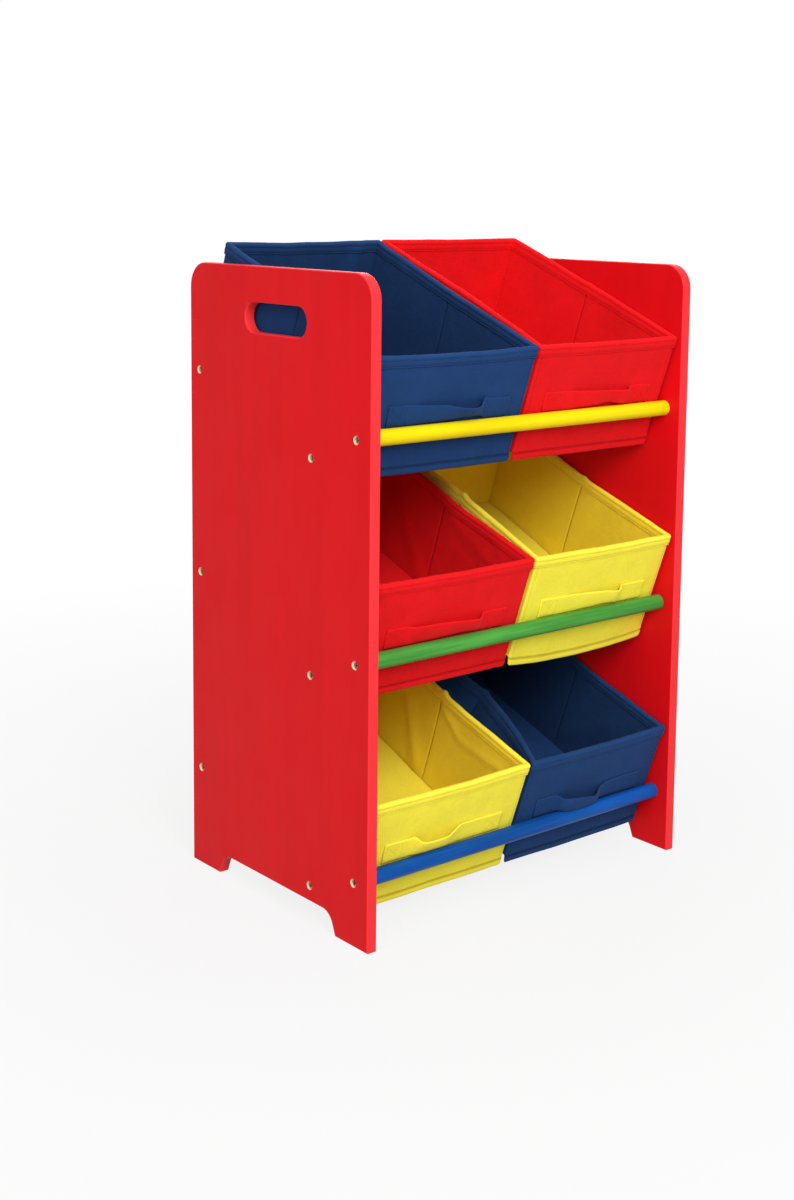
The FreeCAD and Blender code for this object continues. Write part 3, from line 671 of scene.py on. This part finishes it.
def hermite(places, knots, values):
    """A smooth curve through knots that never overshoots a peak or a dip."""
    slopes = np.diff(values) / np.diff(knots)
    tangents = np.zeros(len(knots))
    same = slopes[:-1] * slopes[1:] > 0
    tangents[1:-1][same] = 2 * slopes[:-1][same] * slopes[1:][same] / (slopes[:-1] + slopes[1:])[same]
    index = np.clip(np.searchsorted(knots, places, side="right") - 1, 0, len(slopes) - 1)
    span = np.diff(knots)[index]
    share = (places - knots[index]) / span
    rise = values[index + 1] - values[index]
    start, finish = tangents[index] * span, tangents[index + 1] * span
    bend = (start + finish - 2 * rise) * share + (3 * rise - 2 * start - finish)
    return values[index] + share * (start + share * bend)


class Strap:
    """The band on a bin's front: two sewn tabs and between them a loop that stands out over the rail."""

    STATIONS = 110
    LOOP_STEPS = 400
    STEP_ALONG = 0.2 * MM
    STEP_ACROSS = 0.05
    TAB = 24.0 * MM
    SEAM_INSET = 2.2 * MM
    SEAM_SHARE = 0.78
    THICKNESS = 1.6 * MM
    WALL_GAP = 0.12 * MM
    RAIL_GAP = 0.4 * MM
    LOOSE = 1.0 * MM
    BELLY_SHARE = 0.45
    ACROSS = np.array([-1, -0.93, -0.8, -0.5, -0.2, 0.1, 0.4, 0.7, 0.88, 0.96, 1.0])
    GIRTH = np.array([0.30, 0.80, 1.0, 1.0, 1.0, 1.0, 1.0, 1.0, 1.0, 0.80, 0.30])

    def __init__(self, tray):
        self.tray = tray
        low, high = tray.local_box(f"handle_strap_{tray.name}")
        self.end = (high[0] - low[0]) / 2
        self.rest = self.WALL_GAP + self.THICKNESS / 2
        self.high = high[2]
        self.low = tray.over_rail(-self.rest - self.THICKNESS / 2, self.RAIL_GAP)
        keys = np.array(tray.sit.loop, float)
        places = np.linspace(keys[0, 0], keys[-1, 0], self.LOOP_STEPS)
        eased = [hermite(places, keys[:, 0], keys[:, column]) for column in range(1, keys.shape[1])]
        self.loop = [places * MM, *(values * MM for values in eased)]

    def middle(self, x, across):
        """A point of the strap's middle layer at x along it and across its width, from -1 to 1."""
        places = self.loop[0]
        out, sag, low_out, lift = (np.interp(x, places, values) for values in self.loop[1:])
        low_b, high_b = -(self.rest + low_out), -(self.rest + out)
        clear = self.tray.over_rail(low_b, self.THICKNESS / 2 + self.RAIL_GAP)
        loose = smooth(low_out, 0.0, self.LOOSE)
        low = np.maximum(self.low, clear * loose + self.low * (1 - loose)) + lift
        share = (across + 1) / 2
        belly = self.BELLY_SHARE * out * share * (1 - share)
        b = low_b + (high_b - low_b) * share - belly
        return np.stack(np.broadcast_arrays(x, b, low + (self.high - sag - low) * share), axis=-1)

    def surface(self, x, across, side):
        """A point on the strap's outer face (side 1) or inner face (side -1)."""
        along = self.middle(x + self.STEP_ALONG, across) - self.middle(x - self.STEP_ALONG, across)
        low, high = (np.clip(across + step, -1, 1) for step in (-self.STEP_ACROSS, self.STEP_ACROSS))
        normal = np.cross(along, self.middle(x, high) - self.middle(x, low))
        normal /= np.linalg.norm(normal, axis=-1, keepdims=True)
        girth = np.interp(across, self.ACROSS, self.GIRTH)[..., None]
        return self.middle(x, across) + normal * (side * girth * self.THICKNESS / 2)

    def make(self, material):
        rows = []
        for x in np.linspace(-self.end, self.end, self.STATIONS + 1):
            place = np.full(len(self.ACROSS), x)
            outer, inner = (self.surface(place, self.ACROSS, side) for side in (1, -1))
            rows.append(np.concatenate([outer, inner[::-1]]))
        faces = tube_faces(len(rows), len(rows[0]))
        strap = self.tray.add_cloth("sewn_strap", np.concatenate(rows), faces, material, "binding")
        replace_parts(strap, f"handle_strap_{self.tray.name}")

    def seams(self):
        """Lines of the box and cross sewn through each tab, as pairs of end points."""
        lines = []
        share = self.SEAM_SHARE
        for side in (-1, 1):
            near, far = side * (self.end - self.TAB + self.SEAM_INSET), side * (self.end - self.SEAM_INSET)
            corners = [(near, -share), (far, -share), (far, share), (near, share)]
            lines += list(zip(corners, corners[1:] + corners[:1]))
            lines += [(corners[0], corners[2]), (corners[1], corners[3])]
        return lines


def stitch_shape():
    """One stitch's points along, out and across, and its faces: a short plump thread."""
    points = []
    for along, girth in STITCH_SECTION:
        for turn in np.arange(STITCH_SIDES) * 2 * math.pi / STITCH_SIDES:
            dip = STITCH_BEND * along ** 2
            points.append((along, girth * math.cos(turn) - dip, girth * math.sin(turn)))
    return np.array(points), tube_faces(len(STITCH_SECTION), STITCH_SIDES)


def place_stitches(centres, alongs, outs):
    """Stitches at given centres, each lying along one direction and plump towards another."""
    shape, shape_faces = stitch_shape()
    sideways = np.cross(alongs, outs)
    points = (centres[:, None] + shape[None, :, :1] * alongs[:, None] * STITCH_LENGTH / 2
              + shape[None, :, 1:2] * outs[:, None] * STITCH_RADIUS
              + shape[None, :, 2:] * sideways[:, None] * STITCH_RADIUS)
    faces = [tuple(index * len(shape) + corner for corner in face)
             for index in range(len(centres)) for face in shape_faces]
    return points.reshape(-1, 3), faces


def ring_stitches(tray, inset, height, facing, only_ends=False):
    """Evenly spaced stitches round a tray at one height, or only along its front and its rear."""
    looped, faced = (np.vstack([part, part[:1]]) for part in wall_ring(tray, inset))
    walked = np.append(0, np.cumsum(np.linalg.norm(np.diff(looped, axis=0), axis=1)))
    count = int(walked[-1] / STITCH_PITCH)
    spots = (np.arange(count) + 0.5) * walked[-1] / count
    x, b, out_x, out_b = (np.interp(spots, walked, values) for values in (*looped.T, *faced.T))
    outs = level(np.column_stack([out_x, out_b]), 0.0)
    outs /= np.linalg.norm(outs, axis=1)[:, None]
    alongs = np.column_stack([-outs[:, 1], outs[:, 0], np.zeros(count)])
    kept = np.abs(x) < tray.half - CORNER_SEAM if only_ends else np.full(count, True)
    return level(np.column_stack([x, b]), height)[kept], alongs[kept], outs[kept] * facing


def make_stitching(tray, strap, material):
    """One bin's sewing: the rim's seam outside and inside, the hem and the strap's tabs."""
    rim_seam = tray.height + STITCH_LINE
    runs = [ring_stitches(tray, -STITCH_SINK, rim_seam, 1),
            ring_stitches(tray, tray.wall + STITCH_SINK, rim_seam, -1),
            ring_stitches(tray, *HEM_SEAM, 1, only_ends=True)]
    width = (strap.high - strap.low) / 2
    for (x0, v0), (x1, v1) in strap.seams():
        span = math.hypot(x1 - x0, (v1 - v0) * width)
        count = max(1, int(span / STITCH_PITCH))
        shares = (np.arange(count) + 0.5) / count
        spots = strap.surface(x0 + (x1 - x0) * shares, v0 + (v1 - v0) * shares, 1)
        along = np.array([x1 - x0, 0, (v1 - v0) * width]) / span
        runs.append((spots, np.tile(along, (count, 1)), np.tile([0.0, -1.0, 0.0], (count, 1))))
    points, faces = place_stitches(*(np.concatenate(parts) for parts in zip(*runs)))
    tray.add_cloth("stitching", points, faces, material, "binding")


# Materials

class Nodes:
    """The node tree of a material or a world, with short ways to add and join its nodes."""

    def __init__(self, owner, output="OutputMaterial"):
        owner.use_nodes = True
        self.owner = owner
        self.tree = owner.node_tree
        self.tree.nodes.clear()
        self.output = self.add(output)

    def add(self, kind, **settings):
        node = self.tree.nodes.new(f"ShaderNode{kind}")
        for name, setting in settings.items():
            setattr(node, name, setting)
        return node

    def feed(self, socket, value):
        """Gives a socket a value or links it to another socket."""
        if isinstance(value, bpy.types.NodeSocket):
            self.tree.links.new(value, socket)
        else:
            socket.default_value = value

    def fill(self, sockets, *values):
        """Feeds sockets in their order."""
        for socket, value in zip(sockets, values):
            self.feed(socket, value)

    def wire(self, kind, output, **inputs):
        """A new node's output, with its inputs fed by their names."""
        node = self.add(kind)
        for name, value in inputs.items():
            self.feed(node.inputs[name.replace("_", " ")], value)
        return node.outputs[output]

    def sum(self, operation, *values):
        node = self.add("Math", operation=operation)
        self.fill(node.inputs, *values)
        return node.outputs[0]

    def weigh(self, *parts, start=0.0):
        """A start value with values times their weights added to it."""
        for value, weight in parts:
            start = self.sum("MULTIPLY_ADD", value, weight, start)
        return start

    def choose(self, choice, first, second):
        """The first value where the choice is 1 and the second where it is 0."""
        return self.weigh((first, choice), (second, self.sum("SUBTRACT", 1.0, choice)))

    def mix(self, factor, first, second, blend="MIX"):
        node = self.add("Mix", data_type="RGBA", blend_type=blend)
        self.fill([node.inputs[0], *node.inputs[6:8]], factor, first, second)
        return node.outputs[2]

    def split(self, vector):
        return self.wire("SeparateXYZ", 0, Vector=vector).node.outputs

    def mark(self, name):
        """The values that a piece's points carry under a name."""
        return self.add("Attribute", attribute_name=name).outputs["Fac"]

    def noise(self, vector, scale, detail=2.0, roughness=0.5):
        return self.wire("TexNoise", "Fac", Vector=vector, Scale=scale, Detail=detail, Roughness=roughness)

    def stretch(self, vector, scale):
        return self.wire("Mapping", "Vector", Vector=vector, Scale=scale)

    def ramp(self, factor, *stops):
        """A colour ramp with stops given as place and colour."""
        node = self.add("ValToRGB")
        self.feed(node.inputs["Fac"], factor)
        for index, (place, colour) in enumerate(stops):
            element = node.color_ramp.elements[index] if index < 2 else node.color_ramp.elements.new(place)
            element.position = place
            element.color = (*colour, 1)
        return node.outputs["Color"]

    def range(self, *values):
        """A value taken from a range, low to high, to another."""
        node = self.add("MapRange")
        self.fill(node.inputs, *values)
        return node.outputs["Result"]

    def rough(self, noise, low, high):
        """A roughness between two values, spread over where a noise mostly lies."""
        return self.range(noise, *NOISE_SPAN, low, high)

    def bump(self, height, strength, distance, **normal):
        return self.wire("Bump", "Normal", Height=height, Strength=strength, Distance=distance, **normal)

    def principled(self, **inputs):
        self.feed(self.output.inputs["Surface"], self.wire("BsdfPrincipled", "BSDF", **inputs))
        return self.owner

    def seen(self):
        """1 for the rays by which the camera, reflections and clear things see a surface."""
        kinds = [self.wire("LightPath", f"Is {kind} Ray") for kind in ("Camera", "Glossy", "Transmission")]
        return self.sum("MAXIMUM", self.sum("MAXIMUM", *kinds[:2]), kinds[2])

    def shade_by(self, factor, first, second):
        """Sends a mix of two shaders to the surface."""
        node = self.add("MixShader")
        self.fill(node.inputs, factor, first, second)
        self.feed(self.output.inputs["Surface"], node.outputs[0])


def material_nodes(name):
    """A new material's nodes, with the place and the direction of its surface."""
    nodes = Nodes(bpy.data.materials.new(name))
    coordinate = nodes.add("TexCoord")
    return nodes, coordinate.outputs["Object"], nodes.split(coordinate.outputs["Normal"])


def shade(colour, factor):
    return tuple(min(1.0, channel * factor) for channel in colour)


def cloth(name, colour, dye, pitch, relief):
    """Spun cloth pressed with a fine diamond pattern, with soft mottling and fibres, painted shade on its
    inside and painted shade along its creases and seams.
    """
    nodes, place, facing = material_nodes(name)
    spot = nodes.split(place)
    side_on, flat_on = (nodes.sum("GREATER_THAN", nodes.sum("ABSOLUTE", facing[axis]), FACED)
                        for axis in ("X", "Z"))
    across = nodes.choose(side_on, spot["Y"], spot["X"])
    upward = nodes.choose(flat_on, spot["Y"], spot["Z"])
    press = nodes.sum("MULTIPLY", *(
        nodes.sum("SINE", nodes.sum("MULTIPLY", nodes.sum(operation, across, upward), math.pi / pitch))
        for operation in ("ADD", "SUBTRACT")))
    fibres = nodes.noise(place, 1400, detail=3)
    clumps = nodes.noise(place, 360)
    mottle = nodes.noise(place, 38, detail=4, roughness=0.6)
    clouds = nodes.noise(place, 9)
    tone = nodes.weigh((mottle, 0.5), (clouds, 0.5), (press, 0.05), (fibres, 0.30), (clumps, 0.36),
                       start=-0.33)
    # The inside's colour is the cloth's colour, darkened and warmed as painted shade
    shaded_inside = tuple(channel * tint for channel, tint in zip(colour, INSIDE_SHADE_TINTS[dye]))
    dark, light = 1 - 0.16 * MOTTLING[dye], 1 + 0.13 * MOTTLING[dye]
    mottled = [nodes.ramp(tone, (0.30, shade(main, dark)), (0.5, main), (0.72, shade(main, light)))
               for main in (colour, shaded_inside)]
    # Painted shade: the inside of the tray takes the shaded colour
    skin = nodes.mix(nodes.mark("inside"), *mottled)
    # Painted shade darkens the cloth in its creases and along its seams
    skin = nodes.mix(nodes.mark("pressed"), skin, (0.52, 0.45, 0.42, 1), blend="MULTIPLY")
    normal = nodes.bump(press, 0.35 * relief, 0.12 * MM)
    normal = nodes.bump(fibres, 0.30 * relief, 0.20 * MM, Normal=normal)
    normal = nodes.bump(mottle, 0.60 * relief, 2.2 * MM, Normal=normal)
    roughness = nodes.rough(fibres, 0.78, 0.92)
    return nodes.principled(Base_Color=skin, Roughness=roughness, Normal=normal,
                            Sheen_Weight=0.03, Sheen_Roughness=0.45, Specular_IOR_Level=0.08)


def paint(name, colour, highlight_colour, grain, contrast):
    """Satin paint over wood whose grain shows faintly, with a painted highlight: the faces square to the
    sides take a lighter colour for the light they catch.
    """
    nodes, place, facing = material_nodes(name)
    # Painted highlight on the faces that are not turned to the sides
    edge_highlight = nodes.range(nodes.sum("ABSOLUTE", facing["X"]), 0.75, 0.95, 1.0, 0.0)
    along = nodes.noise(nodes.stretch(place, grain), 1.0, detail=5, roughness=0.6)
    tone = nodes.weigh((nodes.noise(place, 7, detail=3), 0.35), (along, 0.65))
    grained = [nodes.ramp(tone, (0.41, shade(main, 1 - contrast)), (0.59, shade(main, 1 + contrast)))
               for main in (colour, highlight_colour)]
    normal = nodes.bump(nodes.noise(place, 520), 0.05, 0.4 * MM)
    normal = nodes.bump(along, 0.10, 0.4 * MM, Normal=normal)
    roughness = nodes.rough(nodes.noise(place, 30, detail=4), 0.34, 0.46)
    return nodes.principled(Base_Color=nodes.mix(edge_highlight, *grained), Roughness=roughness, Normal=normal,
                            Specular_IOR_Level=0.09)


def wood(name):
    """Clear pine: pale, with darker streaks along the dowel."""
    nodes, place, _ = material_nodes(name)
    streaks = nodes.noise(nodes.stretch(place, (5, 190, 190)), 1.0, detail=6, roughness=0.6)
    pores = nodes.noise(nodes.stretch(place, (60, 1500, 1500)), 1.0)
    rings = nodes.add("TexWave", wave_type="RINGS", rings_direction="X")
    nodes.feed(rings.inputs["Vector"], nodes.stretch(place, (2, 90, 90)))
    nodes.feed(rings.inputs["Scale"], 1.0)
    nodes.feed(rings.inputs["Distortion"], 6.0)
    tone = nodes.weigh((streaks, 0.7), (rings.outputs["Fac"], 0.3))
    colour = nodes.ramp(tone, (0.25, (0.50, 0.31, 0.15)), (0.55, (0.70, 0.50, 0.29)),
                        (0.85, (0.80, 0.62, 0.40)))
    normal = nodes.bump(nodes.weigh((pores, 0.5), start=streaks), 0.15, 0.4 * MM)
    return nodes.principled(Base_Color=colour, Roughness=nodes.rough(streaks, 0.45, 0.60), Normal=normal)


def steel(name, recess_end, recess_start):
    """Nickel-plated steel with fine turning marks, darkened with painted shade down in the driver's recess.
    """
    nodes, place, _ = material_nodes(name)
    # Painted shade: the deeper a point lies in the recess, the darker it is
    recess_shade = nodes.range(nodes.sum("ABSOLUTE", nodes.split(place)["X"]), recess_end, recess_start, 1.0, 0.0)
    marks = nodes.noise(nodes.stretch(place, (300, 3000, 3000)), 1.0, detail=3)
    bright = nodes.ramp(marks, (0.3, (0.16, 0.11, 0.07)), (0.7, (0.46, 0.35, 0.23)))
    colour = nodes.mix(recess_shade, bright, (0.035, 0.028, 0.025, 1))
    return nodes.principled(Base_Color=colour, Roughness=nodes.rough(marks, 0.24, 0.38),
                            Normal=nodes.bump(marks, 0.10, 0.1 * MM), Metallic=1.0)


def card(name, dark, light):
    """Pressed fibres with flecks, for cardboard and for the panels' bare board."""
    nodes, place, _ = material_nodes(name)
    flecks = nodes.noise(place, 900, detail=4, roughness=0.7)
    tone = nodes.weigh((flecks, 0.6), (nodes.noise(place, 40, detail=3), 0.4))
    colour = nodes.ramp(tone, (0.3, dark), (0.7, light))
    return nodes.principled(Base_Color=colour, Roughness=nodes.rough(flecks, 0.8, 0.95),
                            Normal=nodes.bump(flecks, 0.25, 0.2 * MM))


# The panels, rails and screws

def dress(node, material):
    """Gives a CAD node's own object a material."""
    slots = frame["nodes"][node].data.materials
    slots.clear()
    slots.append(material)


def make_panel(side, painted, bare):
    """A side panel with bare board in its screw holes, whose mouths the paint has narrowed."""
    mesh = remade(f"side_panel_{side}", f"painted_panel_{side}", "frame", "red_paint", painted, bare).data
    boxes = [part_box(f"{kind}_rail_{tier}") for kind in RAIL_KINDS for tier in TIERS]
    axes = [((low + high) / 2).yz for low, high in boxes]

    def nearest(spot):
        return min(axes, key=lambda axis: (spot.yz - axis).length)

    for face in mesh.polygons:
        in_hole = (face.center.yz - nearest(face.center)).length < HOLE_REACH
        if in_hole and abs(face.normal.x) < HOLE_FACING:
            face.material_index = 1
    outer = max(abs(vertex.co.x) for vertex in mesh.vertices)
    for vertex in mesh.vertices:
        axis = nearest(vertex.co)
        arm = vertex.co.yz - axis
        if arm.length < HOLE_REACH and outer - abs(vertex.co.x) < MOUTH_DEPTH:
            vertex.co.yz = axis + arm * MOUTH_SHARE


def sink_screws(kind, side, material):
    """Three screws driven a little below the panel's face."""
    node = f"{kind}_rail_screws_{side}"
    screws = remade(node, f"sunk_{node}", "frame", "screw_steel", material)
    screws.data.transform(Matrix.Translation((SCREW_SINK if side == "left" else -SCREW_SINK, 0, 0)))


# Each front rail's paint, with how strongly its grain shows
RAIL_PAINTS = {
    "top": ("yellow_paint", (0.80, 0.62, 0.003), 0.07),
    "middle": ("green_paint", (0.062, 0.285, 0.043), 0.22),
    "bottom": ("blue_paint", (0.004, 0.070, 0.31), 0.22),
}
RAIL_GRAIN = (7, 190, 190)
PANEL_GRAIN = (34, 34, 3.5)

# The panels' red, with a lighter red painted on their edges as highlight
red_paint = paint("red_paint", (0.71, 0.0048, 0.0085), (0.80, 0.032, 0.038), PANEL_GRAIN, 0.03)
pine = wood("pine")
bare_board = card("bare_board", (0.62, 0.42, 0.25), (0.86, 0.66, 0.44))
screw_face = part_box("front_rail_screws_right")[1].x - SCREW_SINK
nickel = steel("nickel", *(screw_face - depth for depth in RECESS_DEPTHS))
for tier, (name, colour, contrast) in RAIL_PAINTS.items():
    dress(f"front_rail_{tier}", paint(name, colour, colour, RAIL_GRAIN, contrast))
    for kind in ("support", "rear"):
        dress(f"{kind}_rail_{tier}", pine)
for side in SIDES:
    make_panel(side, red_paint, bare_board)
    for kind in RAIL_KINDS:
        sink_screws(kind, side, nickel)


# The six bins, with each dye's cloth, tape and thread: its colour's factor, its pattern's pitch and relief
WEAVES = {"cloth": (1.0, 1.3 * MM, 1.0), "tape": (1.02, 1.3 * MM, 0.8), "thread": (0.80, 0.5 * MM, 1.0)}

cardboard = card("cardboard", (0.26, 0.17, 0.095), (0.46, 0.32, 0.19))
textiles = {
    dye: [cloth(f"{dye}_{kind}", shade(colour, factor), dye, pitch, relief)
          for kind, (factor, pitch, relief) in WEAVES.items()]
    for dye, colour in CLOTH_COLOURS.items()
}
for tier in TIERS:
    for side in SIDES:
        tray = Bin(tier, side)
        strap = Strap(tray)
        fabric, tape, thread = textiles[tray.colour]
        make_cover(tray, fabric)
        make_binding(tray, tape)
        make_base_board(tray, fabric)
        make_stiffeners(tray, cardboard)
        strap.make(tape)
        make_stitching(tray, strap, thread)


# Studio

AMBIENT = 0.38
WHITE = (1, 1, 1, 1)
MIDDLE = (0.0, 0.0, 0.33)
FLOOR_REACH = 30.0

# The floor's whiteness: the distances between which it grows, and what it grows from and to
FLOOR_FADE = (0.3, 1.4, 0.84, 1.0)

# Each lamp's place, size and power
LAMPS = {
    "key": ((-1.05, -2.35, 1.95), 1.7, 77),
    "side": ((-2.6, -1.1, 1.2), 1.8, 17),
    "top": ((0.0, -0.6, 3.0), 2.0, 18),
    "rear": ((2.3, 2.0, 1.5), 1.6, 26),
}

# The photo's camera: its place, its turns in radians (sideways, down and its roll), its focal length over
# the picture's longer side, both counted in pixels, and how far the picture is shifted
CAMERA_PLACE = (-1.1710, -1.3475, 0.7127)
CAMERA_TURNS = ((-0.6890, "Z"), (math.pi / 2 - 0.1324, "X"), (0.0102, "Z"))
FOCAL_SHARE = 1711 / 1200
CAMERA_SHIFT = -0.150
SENSOR_MILLIMETRES = 36.0


def make_floor():
    """A flat, pale and matt floor that is seen as white away from the rack."""
    nodes = Nodes(bpy.data.materials.new("pale_backdrop"))
    distance = nodes.add("VectorMath", operation="LENGTH")
    nodes.feed(distance.inputs[0], nodes.wire("NewGeometry", "Position"))
    white = nodes.range(distance.outputs["Value"], *FLOOR_FADE)
    nodes.shade_by(nodes.sum("MULTIPLY", nodes.seen(), white),
                   nodes.wire("BsdfDiffuse", 0, Color=(0.55, 0.55, 0.55, 1)),
                   nodes.wire("Emission", 0, Color=WHITE))
    mesh = bpy.data.meshes.new("floor")
    reach = FLOOR_REACH
    corners = [(-reach, -reach, 0), (reach, -reach, 0), (reach, reach, 0), (-reach, reach, 0)]
    mesh.from_pydata(corners, [], [(0, 1, 2, 3)])
    mesh.materials.append(nodes.owner)
    floor = place_in_scene("floor", mesh)


def make_world():
    """Soft light from all round, white to the camera and reflections."""
    world = bpy.data.worlds.new("studio")
    bpy.context.scene.world = world
    nodes = Nodes(world, "OutputWorld")
    lit, white = (nodes.wire("Background", 0, Color=WHITE, Strength=strength) for strength in (AMBIENT, 1.0))
    nodes.shade_by(nodes.seen(), lit, white)


def soft_lamp(name, spot, size, power):
    data = bpy.data.lights.new(name, "AREA")
    data.shape = "DISK"
    data.size = size
    data.energy = power
    lamp = place_in_scene(name, data)
    lamp.location = spot
    lamp.rotation_euler = (Vector(MIDDLE) - Vector(spot)).to_track_quat("-Z", "Y").to_euler()


def make_camera():
    data = bpy.data.cameras.new("photo_view")
    data.sensor_width = SENSOR_MILLIMETRES
    data.lens = FOCAL_SHARE * SENSOR_MILLIMETRES
    data.shift_y = CAMERA_SHIFT
    data.clip_start, data.clip_end = 0.05, 100.0
    camera = place_in_scene("photo_view", data)
    place = Matrix.Translation(CAMERA_PLACE)
    for turn, axis in CAMERA_TURNS:
        place @= Matrix.Rotation(turn, 4, axis)
    camera.matrix_world = place
    bpy.context.scene.camera = camera


make_floor()
make_world()
for name, (spot, size, power) in LAMPS.items():
    soft_lamp(name, spot, size, power)
make_camera()
bpy.context.scene.view_settings.view_transform = "Standard"
